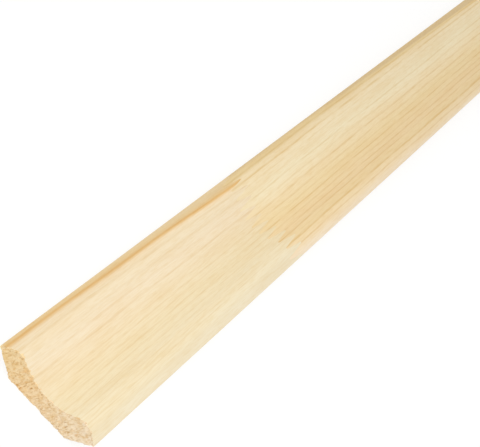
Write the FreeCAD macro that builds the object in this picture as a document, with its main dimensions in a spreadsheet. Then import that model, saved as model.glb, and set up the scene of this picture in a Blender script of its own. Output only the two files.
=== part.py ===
"""Finger-jointed pine cove moulding for the corner between wall and ceiling.

The bar lies on its flat back. +X runs along the bar, +Y across it and +Z out of the back, towards the
hollow face. The origin is under the middle of the bar, on the plane of the back.

The bar is five planed pine blocks, glued end to end with mini finger joints. Every block has the same
section: a flat back, two 45 degree bearing faces that lie against wall and ceiling, a narrow lip square
to each bearing face, a round nose, and the cove between the two noses.
"""
import FreeCAD, Part
import Sketcher
import math
import os

DRIVING_SIZES = {
    "bar_length": 2000.0,
    "face_width": 45.0,      # over the two outer edges
    "edge_height": 9.1,      # outer edges above the back
    "thickness": 14.2,       # crest of a nose above the back
    "nose_radius": 5.4,
    "cove_radius": 18.0,
    "arris_radius": 0.4,     # easing of the four long sharp edges
    "finger_length": 10.0,
    "finger_pitch": 4.0,
    "finger_tip": 0.6,       # width of the blunt end of a finger
    "finger_count": 12,
    "comb_offset": 1.7,      # the middle of the row of notches, across the bar
    "joint_1": 135.0,        # middle of each finger joint, from the first end of the bar
    "joint_2": 618.0,
    "joint_3": 1078.0,
    "joint_4": 1568.0,
}
BLOCK_COUNT = 5
PARTS_FOLDER = "parts"
START, END, CENTRE = 1, 2, 3     # Sketcher's numbers for the points of a line or arc
ROOT = -1                        # Sketcher's number for the origin and the horizontal axis
OVERLAP_LIMIT = 0.01             # mm3 that two neighbouring blocks may share
VOLUME_TOLERANCE = 1e-4          # share by which the blocks may miss the volume of a plain bar


def vector(y, z):
    return FreeCAD.Vector(y, z, 0)


def make_sheet(doc):
    """The spreadsheet that holds the driving sizes, one named cell each."""
    sheet = doc.addObject("Spreadsheet::Sheet", "Sizes")
    for row, (alias, value) in enumerate(DRIVING_SIZES.items(), start=1):
        sheet.set(f"A{row}", alias.replace("_", " "))
        sheet.set(f"B{row}", str(value))
        sheet.setAlias(f"B{row}", alias)
    doc.recompute()
    return sheet


def origin_feature(body, role):
    return next(f for f in body.Origin.OriginFeatures if f.Role == role)


def add_sketch(body, name, role):
    """An empty sketch on one of the body's own origin planes."""
    sketch = body.newObject("Sketcher::SketchObject", name)
    sketch.AttachmentSupport = [(origin_feature(body, role), "")]
    sketch.MapMode = "FlatFace"
    return sketch


def bind(sketch, kind, geometry, name, expression, value):
    """Adds one dimension to the sketch and binds it to the sheet."""
    index = sketch.addConstraint(Sketcher.Constraint(kind, *geometry, value))
    sketch.renameConstraint(index, name)
    sketch.setExpression(f"Constraints.{name}", expression)


def arc(centre, radius, first_deg, last_deg):
    circle = Part.Circle(centre, FreeCAD.Vector(0, 0, 1), radius)
    return Part.ArcOfCircle(circle, math.radians(first_deg), math.radians(last_deg))


def end_of(circle_arc, degrees):
    """The point of an arc's circle at an angle."""
    turn = math.radians(degrees)
    return circle_arc.Center + circle_arc.Radius * vector(math.cos(turn), math.sin(turn))


def section_sketch(body, sheet):
    """The moulding's section, seen along the bar: Y to the right and Z up."""
    ease, nose, cove = sheet.arris_radius, sheet.nose_radius, sheet.cove_radius
    edge_y = sheet.face_width / 2 - ease
    back_y = edge_y - sheet.edge_height + ease
    nose_z = sheet.thickness - nose
    nose_y = edge_y + sheet.edge_height - nose_z - (nose - ease) * math.sqrt(2)
    cove_z = nose_z + math.sqrt((cove + nose) ** 2 - nose_y ** 2)
    lean = math.degrees(math.asin(nose_y / (cove + nose)))

    right = {
        "back_arris": arc(vector(back_y, ease), ease, 270, 315),
        "edge_arris": arc(vector(edge_y, sheet.edge_height), ease, 315, 405),
        "nose": arc(vector(nose_y, nose_z), nose, 45, 90 + lean),
    }
    left = {
        "back_arris": arc(vector(-back_y, ease), ease, 225, 270),
        "edge_arris": arc(vector(-edge_y, sheet.edge_height), ease, 135, 225),
        "nose": arc(vector(-nose_y, nose_z), nose, 90 - lean, 135),
    }
    line = Part.LineSegment
    loop = [
        ("back", line(end_of(left["back_arris"], 270), end_of(right["back_arris"], 270))),
        ("right_back_arris", right["back_arris"]),
        ("right_bearing", line(end_of(right["back_arris"], 315), end_of(right["edge_arris"], 315))),
        ("right_edge_arris", right["edge_arris"]),
        ("right_lip", line(end_of(right["edge_arris"], 45), end_of(right["nose"], 45))),
        ("right_nose", right["nose"]),
        ("cove", arc(vector(0, cove_z), cove, 270 - lean, 270 + lean)),
        ("left_nose", left["nose"]),
        ("left_lip", line(end_of(left["nose"], 135), end_of(left["edge_arris"], 135))),
        ("left_edge_arris", left["edge_arris"]),
        ("left_bearing", line(end_of(left["edge_arris"], 225), end_of(left["back_arris"], 225))),
        ("left_back_arris", left["back_arris"]),
    ]

    sketch = add_sketch(body, "section", "YZ_Plane")
    sketch.addGeometry([shape for _, shape in loop])
    place = {name: index for index, (name, _) in enumerate(loop)}

    # The cove is hollow, so its arc runs against the loop and meets its neighbours the other way round.
    for index, (name, _) in enumerate(loop):
        following = (index + 1) % len(loop)
        leaves = START if name == "cove" else END
        enters = END if loop[following][0] == "cove" else START
        sketch.addConstraint(Sketcher.Constraint("Tangent", index, leaves, following, enters))

    sketch.addConstraint(Sketcher.Constraint("Horizontal", place["back"]))
    sketch.addConstraint(Sketcher.Constraint("PointOnObject", place["back"], START, ROOT))
    slopes = {"right_bearing": 45, "right_lip": 135, "left_lip": 225, "left_bearing": 315}
    for name, degrees in slopes.items():
        sketch.addConstraint(Sketcher.Constraint("Angle", place[name], math.radians(degrees)))

    for side, sign in (("right", 1), ("left", -1)):
        for corner in ("back_arris", "edge_arris"):
            name = f"{side}_{corner}"
            bind(sketch, "Radius", (place[name],), f"{name}_radius", "Sizes.arris_radius", ease)
        tip = (place[f"{side}_edge_arris"], CENTRE)
        bind(sketch, "DistanceX", tip, f"{side}_edge_y",
             f"{sign} * (Sizes.face_width / 2 - Sizes.arris_radius)", sign * edge_y)
        bind(sketch, "DistanceY", tip, f"{side}_edge_z", "Sizes.edge_height", sheet.edge_height)
        crest = place[f"{side}_nose"]
        bind(sketch, "Radius", (crest,), f"{side}_nose_radius", "Sizes.nose_radius", nose)
        bind(sketch, "DistanceY", (crest, CENTRE), f"{side}_nose_z",
             "Sizes.thickness - Sizes.nose_radius", nose_z)
    bind(sketch, "Radius", (place["cove"],), "cove_radius", "Sizes.cove_radius", cove)
    return sketch


def notch_sketch(body, sheet, name, root_x, mouth_x, centre):
    """The outline of one notch, seen from above: narrow at its root and wide at its mouth.

    root_x, mouth_x and centre are pairs of an expression and its value.
    """
    sketch = add_sketch(body, name, "XY_Plane")
    tip = ("Sizes.finger_tip / 2", sheet.finger_tip / 2)
    mouth = ("(Sizes.finger_pitch - Sizes.finger_tip) / 2", (sheet.finger_pitch - sheet.finger_tip) / 2)
    corners = [(root_x, -1, tip), (mouth_x, -1, mouth), (mouth_x, 1, mouth), (root_x, 1, tip)]
    points = [FreeCAD.Vector(x[1], centre[1] + sign * half[1], 0) for x, sign, half in corners]
    for index, point in enumerate(points):
        sketch.addGeometry(Part.LineSegment(point, points[(index + 1) % len(points)]))
    for index, (x, sign, half) in enumerate(corners):
        before = (index - 1) % len(corners)
        sketch.addConstraint(Sketcher.Constraint("Coincident", before, END, index, START))
        bind(sketch, "DistanceX", (index, START), f"corner_{index}_x", x[0], x[1])
        bind(sketch, "DistanceY", (index, START), f"corner_{index}_y",
             f"{centre[0]} + {sign} * {half[0]}", centre[1] + sign * half[1])
    return sketch


def cut_comb(doc, body, sheet, side, root_x, mouth_x, shift):
    """Cuts the row of notches that leaves the fingers of one end of a block.

    shift moves the row by that share of the pitch, so that two meeting rows interlock.
    """
    half_row = (sheet.finger_count - 1) / 2
    first = (f"Sizes.comb_offset + ({shift} - (Sizes.finger_count - 1) / 2) * Sizes.finger_pitch",
             sheet.comb_offset + (shift - half_row) * sheet.finger_pitch)
    profile = notch_sketch(body, sheet, f"{side}_notch", root_x, mouth_x, first)
    notch = body.newObject("PartDesign::Pocket", f"{side}_notch_cut")
    notch.Profile = profile
    notch.Type = "ThroughAll"
    notch.Reversed = True
    doc.recompute()
    comb = body.newObject("PartDesign::LinearPattern", f"{side}_comb")
    comb.Originals = [notch]
    comb.Direction = (origin_feature(body, "Y_Axis"), [""])
    comb.setExpression("Length", "Sizes.finger_pitch * (Sizes.finger_count - 1)")
    comb.setExpression("Occurrences", "Sizes.finger_count")
    body.Tip = comb
    doc.recompute()


def make_block(doc, sheet, number):
    """One pine block: the section along the block's length, with fingers at its jointed ends."""
    jointed_first, jointed_last = number > 1, number < BLOCK_COUNT
    half_finger = "Sizes.finger_length / 2"
    first = f"(Sizes.joint_{number - 1} - {half_finger})" if jointed_first else "0"
    last = f"(Sizes.joint_{number} + {half_finger})" if jointed_last else "Sizes.bar_length"
    first_value = sheet.get(f"joint_{number - 1}") - sheet.finger_length / 2 if jointed_first else 0
    last_value = sheet.get(f"joint_{number}") + sheet.finger_length / 2 if jointed_last else sheet.bar_length
    length, length_value = f"{last} - {first}", last_value - first_value

    body = doc.addObject("PartDesign::Body", f"Block{number}")
    body.Label = f"pine_block_{number}"
    stick = body.newObject("PartDesign::Pad", "stick")
    stick.Profile = section_sketch(body, sheet)
    stick.setExpression("Length", length)
    body.Tip = stick
    doc.recompute()
    if jointed_last:
        root = (f"{length} - Sizes.finger_length", length_value - sheet.finger_length)
        cut_comb(doc, body, sheet, "last", root, (length, length_value), 0)
    if jointed_first:
        root = ("Sizes.finger_length", sheet.finger_length)
        cut_comb(doc, body, sheet, "first", root, ("0", 0), -0.5)
    body.setExpression("Placement.Base.x", f"{first} - Sizes.bar_length / 2")
    doc.recompute()
    return body


def check_document(doc, blocks, sheet):
    """Stops if a feature failed, a solid is bad, or the blocks don't fit together without gaps."""
    for feature in doc.Objects:
        if "Invalid" in feature.State or "Error" in feature.State:
            raise RuntimeError(f"{feature.Label} failed: {feature.State}")
    for body in blocks:
        shape = body.Shape
        if shape.isNull() or not shape.isValid() or len(shape.Solids) != 1:
            raise RuntimeError(f"{body.Label} isn't one valid solid")
    for before, after in zip(blocks, blocks[1:]):
        shared = before.Shape.common(after.Shape).Volume
        if shared > OVERLAP_LIMIT:
            raise RuntimeError(f"{before.Label} and {after.Label} share {shared:.3f} mm3")
    section = Part.Face(blocks[0].getObject("section").Shape.Wires[0])
    plain_bar = section.Area * sheet.bar_length
    glued = sum(body.Shape.Volume for body in blocks)
    if abs(glued / plain_bar - 1) > VOLUME_TOLERANCE:
        raise RuntimeError(f"the blocks hold {glued:.0f} mm3 and the bar {plain_bar:.0f} mm3")
    print(f"section {section.Area:.1f} mm2, bar {glued / 1e3:.0f} cm3")


def main():
    doc = FreeCAD.newDocument("cove_moulding")
    sheet = make_sheet(doc)
    blocks = [make_block(doc, sheet, number) for number in range(1, BLOCK_COUNT + 1)]
    check_document(doc, blocks, sheet)
    os.makedirs(PARTS_FOLDER, exist_ok=True)
    for body in blocks:
        body.Shape.exportStep(os.path.join(PARTS_FOLDER, f"{body.Label}.step"))
        box = body.Shape.BoundBox
        print(f"{body.Label}: x {box.XMin:.1f} to {box.XMax:.1f}, {body.Shape.Volume / 1e3:.1f} cm3")


main()
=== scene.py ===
"""A finger-jointed pine cove moulding, lying on its flat back, and the studio around it."""
import bpy
import math
import numpy as np
from mathutils import Matrix, Vector


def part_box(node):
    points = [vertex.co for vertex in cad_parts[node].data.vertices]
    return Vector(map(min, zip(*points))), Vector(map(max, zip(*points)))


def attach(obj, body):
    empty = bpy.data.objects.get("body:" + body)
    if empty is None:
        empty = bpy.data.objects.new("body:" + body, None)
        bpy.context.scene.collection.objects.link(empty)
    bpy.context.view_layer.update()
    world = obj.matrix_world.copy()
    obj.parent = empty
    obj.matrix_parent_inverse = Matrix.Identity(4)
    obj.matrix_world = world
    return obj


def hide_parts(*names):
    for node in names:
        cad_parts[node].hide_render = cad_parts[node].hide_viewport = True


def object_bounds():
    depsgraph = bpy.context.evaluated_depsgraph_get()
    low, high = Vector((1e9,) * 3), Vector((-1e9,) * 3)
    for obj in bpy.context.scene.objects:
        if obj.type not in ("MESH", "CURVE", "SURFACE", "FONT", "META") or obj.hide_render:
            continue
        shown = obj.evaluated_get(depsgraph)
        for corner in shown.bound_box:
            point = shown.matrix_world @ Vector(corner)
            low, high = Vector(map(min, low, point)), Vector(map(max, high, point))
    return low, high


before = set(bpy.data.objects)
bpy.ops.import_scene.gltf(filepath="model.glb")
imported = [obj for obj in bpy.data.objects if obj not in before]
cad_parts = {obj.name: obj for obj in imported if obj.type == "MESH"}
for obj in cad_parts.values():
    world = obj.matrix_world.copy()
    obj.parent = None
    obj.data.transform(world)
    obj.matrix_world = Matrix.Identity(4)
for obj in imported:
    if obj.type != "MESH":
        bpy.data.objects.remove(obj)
cad_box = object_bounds()


# --- pine_block_1 -------------------------------------------------------------------------------------
# The first block of the bar: pale pine, quarter sawn, so its year rings cross the face on edge and run
# along it as fine lines. It was planed all round by the moulder's knives, and a streak of pitch follows
# its upper lip. Its free end is sawn square and left rough, and its other end has the joint's fingers.

MM = 0.001

# The section, as the moulder's knives cut it.
HALF_WIDTH = 22.5 * MM
EDGE_HEIGHT = 9.1 * MM       # the middle of the thin outer edge, above the back
CREST_HEIGHT = 14.2 * MM
NOSE_RADIUS = 5.4 * MM
COVE_RADIUS = 18.0 * MM
EASE = 0.4 * MM              # radius of the four eased arrises

EDGE_CENTRE = HALF_WIDTH - EASE
BACK_CENTRE = EDGE_CENTRE - EDGE_HEIGHT + EASE
NOSE_HEIGHT = CREST_HEIGHT - NOSE_RADIUS
NOSE_CENTRE = EDGE_CENTRE + EDGE_HEIGHT - NOSE_HEIGHT - (NOSE_RADIUS - EASE) * math.sqrt(2)
COVE_HEIGHT = NOSE_HEIGHT + math.sqrt((COVE_RADIUS + NOSE_RADIUS) ** 2 - NOSE_CENTRE ** 2)
COVE_HALF = NOSE_CENTRE * COVE_RADIUS / (COVE_RADIUS + NOSE_RADIUS)
EIGHTH = math.sqrt(0.5)      # sine and cosine of 45 degrees

# The mini finger joint. One finger of the further block lies COMB_OFFSET across the bar.
FINGER_LENGTH = 10 * MM
FINGER_PITCH = 4.0 * MM
FINGER_TIP = 0.6 * MM
COMB_OFFSET = -0.3 * MM

# The year rings. A share is of one year's growth.
LATE_START = 0.60            # the dark late wood begins here
LATE_FULL = 0.88             # and is full here
RIDGE = 0.018 * MM           # the hard late wood stands this far above the soft early wood
SHORT_WAVE = (0.10 * MM, 9 * MM, 4 * MM)   # how far the grain wanders, and its lengths along and across
LONG_WAVE = (0.12 * MM, 23 * MM)

# The saw's tearing of the end grain: a depth, then the size across and along the rows, in millimetres.
COARSE_FUZZ = (0.16, 0.7, 1.4)
FINE_FUZZ = (0.08, 0.4, 0.6)
PITS = (1.1, 0.9, 2.4)
PIT_LEVEL = 0.45             # only noise above this level is a pit
SPLINTERS = (0.9, 0.6, 2.0)
SAW_LEAN = math.radians(25)  # the rows lean this far

# The mesh.
GRAIN_STEP = 0.2 * MM        # its spacing across the grain
SAWN_ROWS = 60               # its rows up a sawn end
CURVE_SAMPLES = 6001         # places at which the curve of the face is measured
LATTICE = 64                 # the random values repeat after this many
SMOOTH_ANGLE = math.radians(40)


def upper_face(y):
    """Height of the face across the bar.

    In the middle it is the cove, a circle's lower side. Then come the nose, a circle's upper side, the
    lip, a straight line falling at 45 degrees, and the eased edge, a small circle's upper side.
    """
    side = np.abs(y)
    cove = COVE_HEIGHT - np.sqrt(np.maximum(COVE_RADIUS ** 2 - side ** 2, 0))
    nose = NOSE_HEIGHT + np.sqrt(np.maximum(NOSE_RADIUS ** 2 - (side - NOSE_CENTRE) ** 2, 0))
    lip = EDGE_CENTRE + EDGE_HEIGHT + EASE * math.sqrt(2) - side
    edge = EDGE_HEIGHT + np.sqrt(np.maximum(EASE ** 2 - (side - EDGE_CENTRE) ** 2, 0))
    nose_end, lip_end = NOSE_CENTRE + NOSE_RADIUS * EIGHTH, EDGE_CENTRE + EASE * EIGHTH
    return np.select([side < COVE_HALF, side < nose_end, side < lip_end], [cove, nose, lip], edge)


def lower_face(y):
    """Height of the back across the bar: flat, then a small circle's lower side, a straight line rising
    at 45 degrees, and the eased edge, a small circle's lower side."""
    side = np.abs(y)
    arris = EASE - np.sqrt(np.maximum(EASE ** 2 - (side - BACK_CENTRE) ** 2, 0))
    slope = side - EDGE_CENTRE + EDGE_HEIGHT - EASE * math.sqrt(2)
    edge = EDGE_HEIGHT - np.sqrt(np.maximum(EASE ** 2 - (side - EDGE_CENTRE) ** 2, 0))
    arris_end, slope_end = BACK_CENTRE + EASE * EIGHTH, EDGE_CENTRE + EASE * EIGHTH
    within = [side < BACK_CENTRE, side < arris_end, side < slope_end]
    return np.select(within, [0 * side, arris, slope], edge)


def zigzag(y):
    """How far the joint's line stands from the joint's middle: a wave of blunt teeth, two to a pitch."""
    phase = np.abs((y - COMB_OFFSET) / FINGER_PITCH - np.round((y - COMB_OFFSET) / FINGER_PITCH))
    blunt = FINGER_TIP / FINGER_PITCH / 2
    return FINGER_LENGTH * (np.clip((phase - blunt) / (0.5 - 2 * blunt), 0, 1) - 0.5)


def places_across():
    """Distances across the bar, evenly spaced along the curve of its face, with every finger's corners."""
    turn = np.linspace(-math.pi / 2, math.pi / 2, CURVE_SAMPLES)
    fine = HALF_WIDTH * np.sin(turn)
    travelled = np.concatenate(([0], np.cumsum(np.hypot(np.diff(fine), np.diff(upper_face(fine))))))
    even = np.interp(np.arange(0, travelled[-1], GRAIN_STEP), travelled, fine)
    outermost = math.ceil(2 * HALF_WIDTH / FINGER_PITCH) + 1
    middles = COMB_OFFSET + FINGER_PITCH / 2 * np.arange(-outermost, outermost + 1)
    corners = np.concatenate((middles - FINGER_TIP / 2, middles + FINGER_TIP / 2))
    corners = corners[np.abs(corners) < HALF_WIDTH - EASE]
    even = even[np.abs(even[:, None] - corners).min(axis=1) > GRAIN_STEP / 4]
    return np.sort(np.concatenate((even, corners, [HALF_WIDTH])))


def lattice_noise(u, v, seed):
    """Smooth random field: random values on a unit lattice, joined by an S-curve between its points."""
    values = np.random.default_rng(seed).uniform(-1, 1, (LATTICE, LATTICE))
    cell_u, cell_v = np.floor(u).astype(int), np.floor(v).astype(int)
    part_u, part_v = u - cell_u, v - cell_v
    blend_u, blend_v = part_u ** 2 * (3 - 2 * part_u), part_v ** 2 * (3 - 2 * part_v)
    corner = [[values[(cell_u + i) % LATTICE, (cell_v + j) % LATTICE] for j in (0, 1)] for i in (0, 1)]
    near = corner[0][0] * (1 - blend_v) + corner[0][1] * blend_v
    far = corner[1][0] * (1 - blend_v) + corner[1][1] * blend_v
    return near * (1 - blend_u) + far * blend_u


def saw_tear(y, z, seed):
    """Depth of a sawn end: fuzzy fibre ends of two sizes, and pits where a bundle of fibres pulled out.

    Each is smooth noise, turned by the rows' lean and stretched to its size. The pits are the noise's
    peaks. The depth is never below zero, so the end stays inside the block's length.
    """
    u = (y * math.cos(SAW_LEAN) + z * math.sin(SAW_LEAN)) / MM
    v = (z * math.cos(SAW_LEAN) - y * math.sin(SAW_LEAN)) / MM
    coarse, fine, pits = [depth * lattice_noise(u / wide, v / tall, seed + number)
                          for number, (depth, wide, tall) in enumerate((COARSE_FUZZ, FINE_FUZZ, PITS))]
    least = COARSE_FUZZ[0] + FINE_FUZZ[0]
    return (least + coarse + fine + np.maximum(pits - PITS[0] * PIT_LEVEL, 0)) * MM


def torn_arris(y, z, seed):
    """Depth of a sawn end along its arris, where splinters broke out of the planed face as well."""
    depth, wide, tall = SPLINTERS
    splinters = np.maximum(lattice_noise(y / (wide * MM), z / (tall * MM), seed + 3), 0)
    return saw_tear(y, z, seed) + depth * MM * splinters


def growth(x, y, z, block):
    """How far across the board a point's year ring lies, from 0 to 1, and how much late wood is there.

    The distance from the pith is measured after the point has been slid along the grain, by its lean and
    its bend, to the station where the year rings' widths hold, and looked up in those widths. Late wood
    grows slowly through a year and stops at once.
    """
    pith_y, pith_z = block["pith"]
    share = np.clip((y + HALF_WIDTH) / (2 * HALF_WIDTH), 0, 1)
    lean = block["lean"][0] + (block["lean"][1] - block["lean"][0]) * share ** 2 * (3 - 2 * share)
    along = x - block["measured_at"]
    wander = SHORT_WAVE[0] * np.sin(along / SHORT_WAVE[1] + y / SHORT_WAVE[2])
    wander = wander + LONG_WAVE[0] * np.sin(along / LONG_WAVE[1])
    bend = block["bend"] * share ** block["bend_reach"]
    radius = np.hypot(pith_y - y + lean * along - bend * along ** 2 + wander, pith_z - z)
    innermost = math.hypot(pith_y - HALF_WIDTH, pith_z - EDGE_HEIGHT)
    rings = innermost + np.concatenate(([0], np.cumsum(block["ring_widths"]))) * MM
    year = np.interp(radius, rings, np.arange(len(rings)))
    strengths = np.array(block["late_strengths"])
    strength = strengths[np.clip(np.floor(year).astype(int), 0, len(strengths) - 1)]
    part = year - np.floor(year)
    rise = np.clip((part - LATE_START) / (LATE_FULL - LATE_START), 0, 1)
    fall = np.clip((1 - part) / (1 - LATE_FULL), 0, 1)
    return (radius - innermost) / (2 * HALF_WIDTH), rise ** 2 * (3 - 2 * rise) * fall * strength


def block_mesh(name, block, first, last, sawn_first, sawn_last):
    """One closed block: the section's outline carried along the bar between its two ends.

    A point is (station, place round the outline). Stations run from the first end's line to the last
    end's, in equal shares, and a line is a zigzag for a finger joint or a torn edge for a sawn end. The
    outline is sunk a little, except where late wood stands up. A sawn end is a grid between the two
    faces, pushed in by the saw's tearing, and a jointed end is one strip between them.
    """
    y = places_across()
    high, low = upper_face(y), lower_face(y)
    wide = len(y)
    seed = block["seed"]

    # The outline goes over the face from -y to +y and comes back under it.
    loop_y = np.concatenate((y, y[-2:0:-1]))
    loop_z = np.concatenate((high, low[-2:0:-1]))
    outward = np.concatenate(([0], np.ones(wide - 2), [0], -np.ones(wide - 2)))
    around = len(loop_y)
    start = first + (torn_arris(loop_y, loop_z, seed) if sawn_first else zigzag(loop_y))
    stop = last + (-torn_arris(loop_y, loop_z, seed) if sawn_last else zigzag(loop_y))
    stations = int(round((last - first) / block["station"])) + 1
    loop_x = start + np.linspace(0, 1, stations)[:, None] * (stop - start)
    loop_y = np.broadcast_to(loop_y, loop_x.shape)
    _, late = growth(loop_x, loop_y, loop_z, block)
    loop_z = loop_z - outward * RIDGE * (1 - late)
    points = [np.stack((loop_x, loop_y, loop_z), axis=-1).reshape(-1, 3)]
    index = np.arange(stations * around).reshape(stations, around)
    ahead = np.roll(index, -1, axis=1)
    faces = [np.stack((index[:-1], index[1:], ahead[1:], ahead[:-1]), axis=-1).reshape(-1, 4)]
    sawn_face = [np.zeros(len(faces[0]), bool)]

    under = np.concatenate(([0], np.arange(around - 1, wide - 1, -1), [wide - 1]))
    for row, is_sawn, facing in ((0, sawn_first, -1), (stations - 1, sawn_last, 1)):
        rows = SAWN_ROWS if is_sawn else 1
        grid = np.empty((rows + 1, wide), int)
        grid[0], grid[-1] = index[row, under], index[row, :wide]
        grid[:, 0], grid[:, -1] = index[row, 0], index[row, wide - 1]
        level = np.linspace(0, 1, rows + 1)[1:-1, None]
        inner_z = (low + level * (high - low))[:, 1:-1]
        inner_y = np.broadcast_to(y[1:-1], inner_z.shape)
        inner_x = (first, last)[facing > 0] - facing * saw_tear(inner_y, inner_z, seed)
        grid[1:-1, 1:-1] = np.arange(inner_z.size).reshape(inner_z.shape) + sum(map(len, points))
        points.append(np.stack((inner_x, inner_y, inner_z), axis=-1).reshape(-1, 3))
        corners = np.stack((grid[:-1, :-1], grid[:-1, 1:], grid[1:, 1:], grid[1:, :-1]), -1).reshape(-1, 4)
        corners = corners if facing > 0 else corners[:, ::-1]
        faces.append(corners)
        sawn_face.append(np.full(len(corners), is_sawn))

    points, corners = np.concatenate(points), np.concatenate(faces)
    outline = [list(dict.fromkeys(face)) for face in corners.tolist()]
    mesh = bpy.data.meshes.new(name)
    mesh.from_pydata(points.tolist(), [], outline)
    mesh.polygons.foreach_set("material_index", np.concatenate(sawn_face).astype(int))
    mesh.polygons.foreach_set("use_smooth", np.ones(len(outline), bool))
    mesh.set_sharp_from_angle(angle=SMOOTH_ANGLE)
    across, late = growth(*points.T, block)
    for attribute, values in (("across", across), ("late_wood", late)):
        layer = mesh.attributes.new(attribute, "FLOAT", "POINT")
        layer.data.foreach_set("value", values.astype(np.float32))
    mesh.update()
    piece = bpy.data.objects.new(name, mesh)
    bpy.context.scene.collection.objects.link(piece)
    return piece


def linear(hex_colour):
    """An sRGB hex colour as the linear red, green, blue and alpha that the shaders take."""
    values = np.array([int(hex_colour[i:i + 2], 16) for i in (1, 3, 5)]) / 255
    values = np.where(values <= 0.04045, values / 12.92, ((values + 0.055) / 1.055) ** 2.4)
    return (*values, 1)


def add_node(tree, kind, inputs, **settings):
    """Adds a node, sets its properties, and links each input or gives it a value.

    A link comes from another node's output, or from a node itself, which stands for its first output.
    """
    node = tree.nodes.new(kind)
    for name, value in settings.items():
        setattr(node, name, value)
    for name, value in inputs.items():
        if isinstance(value, bpy.types.Node):
            tree.links.new(value.outputs[0], node.inputs[name])
        elif isinstance(value, bpy.types.NodeSocket):
            tree.links.new(value, node.inputs[name])
        else:
            node.inputs[name].default_value = value
    return node


def streaks(tree, size, low, high, lean=0.0):
    """A pattern of patches with a real size in millimetres: along the bar, across it and up.

    Smooth noise is pulled out to that size and stepped from 0 to 1 between two of its levels.
    """
    place = add_node(tree, "ShaderNodeTexCoord", {}).outputs["Object"]
    lengths = [length * MM for length in size]
    pulled = add_node(tree, "ShaderNodeMapping",
                      {"Vector": place, "Rotation": (lean, 0, 0), "Scale": lengths}, vector_type="TEXTURE")
    noise = add_node(tree, "ShaderNodeTexNoise", {"Vector": pulled, "Scale": 1.0, "Detail": 3.0})
    return add_node(tree, "ShaderNodeMapRange", {"Value": noise, "From Min": low, "From Max": high},
                    interpolation_type="SMOOTHSTEP")


def pine(name, tones, late_tint, late_break, stains_and_shade, finish, relief):
    """Pine's colour and surface, in layers.

    The board's colour drifts across it from ring to ring. It is multiplied by the late wood's tint along
    each ring, where the late wood is broken up by a pattern, and by each stain's or painted shade's tint
    over its pattern.
    The last pattern, the finest, also gives the surface its small relief.
    """
    material = bpy.data.materials.new(name)
    material.use_nodes = True
    tree = material.node_tree
    tree.nodes.clear()
    across = add_node(tree, "ShaderNodeAttribute", {}, attribute_name="across").outputs["Fac"]
    colour = add_node(tree, "ShaderNodeValToRGB", {"Fac": across})
    drift = colour.color_ramp
    while len(drift.elements) < len(tones):
        drift.elements.new(0.5)
    for stop, (place, tone) in zip(drift.elements, tones):
        stop.position = place
        stop.color = linear(tone)
    late = add_node(tree, "ShaderNodeAttribute", {}, attribute_name="late_wood").outputs["Fac"]
    broken = add_node(tree, "ShaderNodeMath", {0: late, 1: streaks(tree, *late_break)},
                      operation="MULTIPLY")
    # each layer after the late wood is a real stain, or painted shade on a sawn end
    layers = [(broken, late_tint)] + [(streaks(tree, *pattern), tint) for tint, *pattern in stains_and_shade]
    for pattern, tint in layers:
        colour = add_node(tree, "ShaderNodeMix", {"Factor": pattern, 6: colour, 7: linear(tint)},
                          data_type="RGBA", blend_type="MULTIPLY").outputs[2]
    bump = add_node(tree, "ShaderNodeBump", {"Height": pattern, "Distance": relief}, invert=True)
    surface = add_node(tree, "ShaderNodeBsdfPrincipled", {"Base Color": colour, "Normal": bump, **finish})
    add_node(tree, "ShaderNodeOutputMaterial", {"Surface": surface})
    return material


def make_block(block, sawn_first=False, sawn_last=False):
    """Builds a block where its node is, gives it its wood, and lets it stand for the node."""
    number, wood = block["number"], block["name"]
    node = f"pine_block_{number}"
    lowest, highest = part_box(node)
    first = lowest.x + (0 if sawn_first else FINGER_LENGTH / 2)
    last = highest.x - (0 if sawn_last else FINGER_LENGTH / 2)
    piece = block_mesh(f"block_{number}", block, first, last, sawn_first, sawn_last)

    # Pine as the moulder's knives leave it: smooth and dull, in a dry silky yellow with soft ring lines.
    # Its stains are broad patches and the fine streaks of its fibres, drawn 0.45 mm wide so that they show.
    piece.data.materials.append(pine(
        f"planed_pine_{wood}", block["tones"], block["late_tint"], ((14, 1.5, 1.5), 0.2, 0.6),
        (("#FDFAF5", (30, 4, 4), 0.4, 0.65), ("#FBF7EE", (5, 0.45, 0.45), 0.4, 0.7)),
        {"Roughness": 0.6, "IOR": 1.45, "Specular IOR Level": 0.35}, 0.02 * MM))

    # Pine's end grain as a coarse saw leaves it: furry and matt. Over it lie pale patches, painted shade
    # that makes its pits brown, and painted shade between the torn tufts, both in the saw's leaning rows.
    if sawn_first or sawn_last:
        piece.data.materials.append(pine(
            f"sawn_end_grain_{wood}", block["end_tones"], "#F2E7D4", ((1, 1, 1), 0.2, 0.6),
            (("#FAF4E8", (3, 2.2, 3), 0.42, 0.66), ("#D8C4A6", (2, 1.0, 2.6), 0.6, 0.74, SAW_LEAN),
             ("#F2E5D0", (1, 0.6, 1.3), 0.46, 0.7, SAW_LEAN)),
            {"Roughness": 0.9, "Specular IOR Level": 0.1}, 0.1 * MM))

    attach(piece, "root")
    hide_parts(node)


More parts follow.
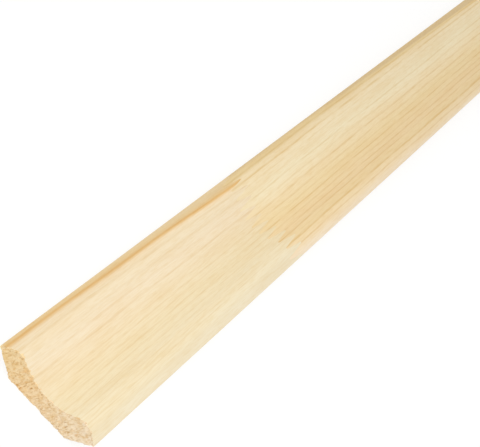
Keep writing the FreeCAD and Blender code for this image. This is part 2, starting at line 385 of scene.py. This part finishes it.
# What a block's wood is like. The pith, the tree's middle, is a place across and up from the bar's back.
# The lean is how far the rings drift across for each length along, at the -y edge and at the +y edge, and
# the bend curves them near the +y edge. The tree grew in runs of good and poor years, and the ring widths
# are a run's width in millimetres, then how many rings each run has. They go from the +y edge to the -y
# edge, and so do the late wood's strengths, one to a ring, and the tones. The narrow dark tone is the
# streak of pitch.
first_block = {
    "number": 1,
    "name": "pale",
    "slot": "pale_pine",
    "seed": 11,
    "station": 3 * MM,
    "measured_at": cad_box[0][0] + 60 * MM,
    "pith": (75 * MM, 26 * MM),
    "lean": (0.004, -0.0215),
    "bend": 0.11,
    "bend_reach": 2,
    "ring_widths": np.repeat((2.0, 3.5, 2.6, 2.1, 1.4, 3.4), (1, 4, 1, 6, 4, 2)),
    "late_strengths": (0.2, 0.8, 0.4, 0.5, 0.9, 0.4, 0.5, 0.8, 0.5,
                       0.7, 0.7, 0.5, 0.4, 0.6, 0.4, 0.8, 0.2, 0.1),
    "late_tint": "#F6EEE0",
    "tones": ((0.0, "#F0D6A7"), (0.013, "#F1D4A0"), (0.029, "#EFCD94"), (0.041, "#E9BA73"),
              (0.053, "#F4D198"), (0.067, "#FAE4BF"), (0.1, "#F5E3C1"), (0.17, "#F4E3C3"),
              (0.28, "#F6E6C9"), (0.42, "#F3E1BE"), (0.6, "#F3E2BC"), (0.72, "#F7E8C5"),
              (0.79, "#F2E2BE"), (0.86, "#F4E6C5"), (1.0, "#F6E9CC")),
    "end_tones": ((0.0, "#FFE5B4"), (0.4, "#FFE3B7"), (0.6, "#FFE8C4"), (1.0, "#FFEDD2")),
}
make_block(first_block, sawn_first=True)


# --- pine_block_2 -------------------------------------------------------------------------------------
# The second block came from another board. Its pine is warmer, and its year rings are wider and darker.
# Its upper lip is drawn darker along the bar, by bending its rings near the +y edge. Its fingers are glued
# between those of its neighbours, so the change of colour runs in a zigzag.

second_block = {
    "number": 2,
    "name": "warm",
    "slot": "warm_pine",
    "seed": 23,
    "station": 5 * MM,
    "measured_at": cad_box[0][0] + 175 * MM,
    "pith": (90 * MM, 7 * MM),
    "lean": (-0.0075, 0.0015),
    # the bend draws the upper lip darker along the bar
    "bend": 0.4,
    "bend_reach": 20,
    "ring_widths": np.repeat((3.7, 2.3, 3.0, 2.45, 3.6, 2.2, 3.6), (2, 3, 3, 5, 1, 1, 1)),
    "late_strengths": (0.6, 1.0, 0.4, 0.2, 0.7, 0.5, 0.8, 0.6, 0.5, 0.9, 0.6, 0.9, 0.8, 1.0, 0.8, 0.3),
    "late_tint": "#F0E5CD",
    "tones": ((0.0, "#E5C996"), (0.04, "#F3D8A1"), (0.08, "#F2D7A0"), (0.1, "#F8E2B7"),
              (0.19, "#F7E5BF"), (0.3, "#F9ECCA"), (0.45, "#F7E3BA"), (0.57, "#F5DEAE"),
              (0.75, "#F8DFB2"), (0.83, "#F1D7A5"), (0.93, "#FBE4BC"), (1.0, "#FEEED6")),
}
make_block(second_block)


# --- pine_block_3, pine_block_4 and pine_block_5 ------------------------------------------------------
# The rest of the bar is more blocks of the same pine, each from a board of its own, joined in the same
# way. They have no streak of pitch. The last one is sawn square at its free end, like the first.

RINGS = 18
RING_WIDTHS = (1.8, 3.6)     # millimetres
LATE_STRENGTHS = (0.2, 1.0)
LEANS = (-0.006, 0.006)
PITH_HEIGHTS = (-30, 30)     # millimetres
CLEAR_TONES = 6              # how many of a block's tones, counted from the -y edge, are of its clear wood

for number, like in ((3, first_block), (4, second_block), (5, first_block)):
    chance = np.random.default_rng(number)
    block = dict(like)
    block["number"] = number
    block["name"] = f"{like['name']}_{number}"
    block["seed"] = 10 * number
    block["station"] = 6 * MM
    block["measured_at"] = sum(corner.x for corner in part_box(f"pine_block_{number}")) / 2
    block["pith"] = ((60 + 10 * number) * MM, chance.uniform(*PITH_HEIGHTS) * MM)
    block["lean"] = tuple(chance.uniform(*LEANS, 2))
    block["ring_widths"] = tuple(chance.uniform(*RING_WIDTHS, RINGS))
    block["late_strengths"] = tuple(chance.uniform(*LATE_STRENGTHS, RINGS))
    block["tones"] = like["tones"][-CLEAR_TONES:]
    make_block(block, sawn_last=number == 5)


# --- floor --------------------------------------------------------------------------------------------
# A white paper floor. It shows as white, and keeps a little of the bar's soft shadow.

FLOOR_HALF = 6.0
WHITE_SHARE = 0.75           # how much of the paper shows as plain white, over its own shading
WHITE_GAIN = 1.09            # makes up for the part that is shading, so that lit paper comes out white


def seen_directly(tree):
    """1 for what the camera sees, or what metal and glass show it, and 0 for light on other things."""
    rays = add_node(tree, "ShaderNodeLightPath", {}).outputs
    seen = rays["Is Camera Ray"]
    for kind in ("Is Glossy Ray", "Is Transmission Ray"):
        seen = add_node(tree, "ShaderNodeMath", {0: seen, 1: rays[kind]}, operation="MAXIMUM")
    return seen


# Uncoated white paper: flat and matt.
paper = bpy.data.materials.new("white_paper")
paper.use_nodes = True
paper.node_tree.nodes.clear()
matte = add_node(paper.node_tree, "ShaderNodeBsdfDiffuse", {"Color": linear("#F4F4F2")})
white = add_node(paper.node_tree, "ShaderNodeEmission",
                 {"Color": linear("#FFFFFF"), "Strength": WHITE_GAIN})
share = add_node(paper.node_tree, "ShaderNodeMath", {0: seen_directly(paper.node_tree), 1: WHITE_SHARE},
                 operation="MULTIPLY")
mixed = add_node(paper.node_tree, "ShaderNodeMixShader", {"Fac": share, 1: matte, 2: white})
add_node(paper.node_tree, "ShaderNodeOutputMaterial", {"Surface": mixed})

floor_mesh = bpy.data.meshes.new("floor")
floor_mesh.from_pydata([(-FLOOR_HALF, -FLOOR_HALF, 0), (FLOOR_HALF, -FLOOR_HALF, 0),
                        (FLOOR_HALF, FLOOR_HALF, 0), (-FLOOR_HALF, FLOOR_HALF, 0)], [], [(0, 1, 2, 3)])
floor_mesh.materials.append(paper)
floor = bpy.data.objects.new("floor", floor_mesh)
bpy.context.scene.collection.objects.link(floor)


# --- studio light -------------------------------------------------------------------------------------
# Even light from all round, and a row of soft lamps above the bar, the first of them over its first end,
# so that the light falls off along the bar.

ALL_ROUND = 0.74
LAMP_SPACING = 0.95
LAMP_SIZE = 0.3
LAMP_POWER = 0.46
LAMP_PLACE = (-0.05, -0.05, 0.34)

world = bpy.data.worlds.new("studio")
bpy.context.scene.world = world
world.use_nodes = True
sky = world.node_tree
sky.nodes.clear()
all_round = add_node(sky, "ShaderNodeBackground", {"Color": linear("#FFFFFF"), "Strength": ALL_ROUND})
backdrop = add_node(sky, "ShaderNodeBackground", {"Color": linear("#FFFFFF"), "Strength": 1.0})
mixed = add_node(sky, "ShaderNodeMixShader", {"Fac": seen_directly(sky), 1: all_round, 2: backdrop})
add_node(sky, "ShaderNodeOutputWorld", {"Surface": mixed})

near_end = Vector((cad_box[0][0], 0, 0))
for number in range(3):
    lamp = bpy.data.lights.new(f"softbox_{number + 1}", "AREA")
    lamp.shape = "SQUARE"
    lamp.size = LAMP_SIZE
    lamp.energy = LAMP_POWER
    softbox = bpy.data.objects.new(lamp.name, lamp)
    foot = near_end + Vector((number * LAMP_SPACING, 0, 0))
    softbox.location = foot + Vector(LAMP_PLACE)
    softbox.rotation_euler = (foot - softbox.location).to_track_quat("-Z", "Y").to_euler()
    softbox.visible_camera = False
    bpy.context.scene.collection.objects.link(softbox)


# --- camera -------------------------------------------------------------------------------------------
# Held above the first end, looking along the bar and down on it, and rolled so that the bar climbs.

HEADING = math.radians(6.0)
PITCH = math.radians(42.0)
ROLL = math.radians(42.0)
DISTANCE = 0.4786
AIM = near_end + Vector((0.1248, 0.0039, 0.010))
FOCAL_LENGTH = 89.1          # millimetres, on a sensor 36 mm wide

ahead = Vector((math.cos(HEADING), math.sin(HEADING), 0))
forward = ahead * math.cos(PITCH) - Vector((0, 0, math.sin(PITCH)))
level = Vector((math.sin(HEADING), -math.cos(HEADING), 0))
upright = level.cross(forward)
right = level * math.cos(ROLL) + upright * math.sin(ROLL)
up = upright * math.cos(ROLL) - level * math.sin(ROLL)
lens = bpy.data.cameras.new("camera")
lens.lens = FOCAL_LENGTH
lens.sensor_width = 36
camera = bpy.data.objects.new("camera", lens)
turned = Matrix((right, up, -forward)).transposed().to_4x4()
camera.matrix_world = Matrix.Translation(AIM - forward * DISTANCE) @ turned
bpy.context.scene.collection.objects.link(camera)
bpy.context.scene.camera = camera
bpy.context.scene.view_settings.view_transform = "Standard"
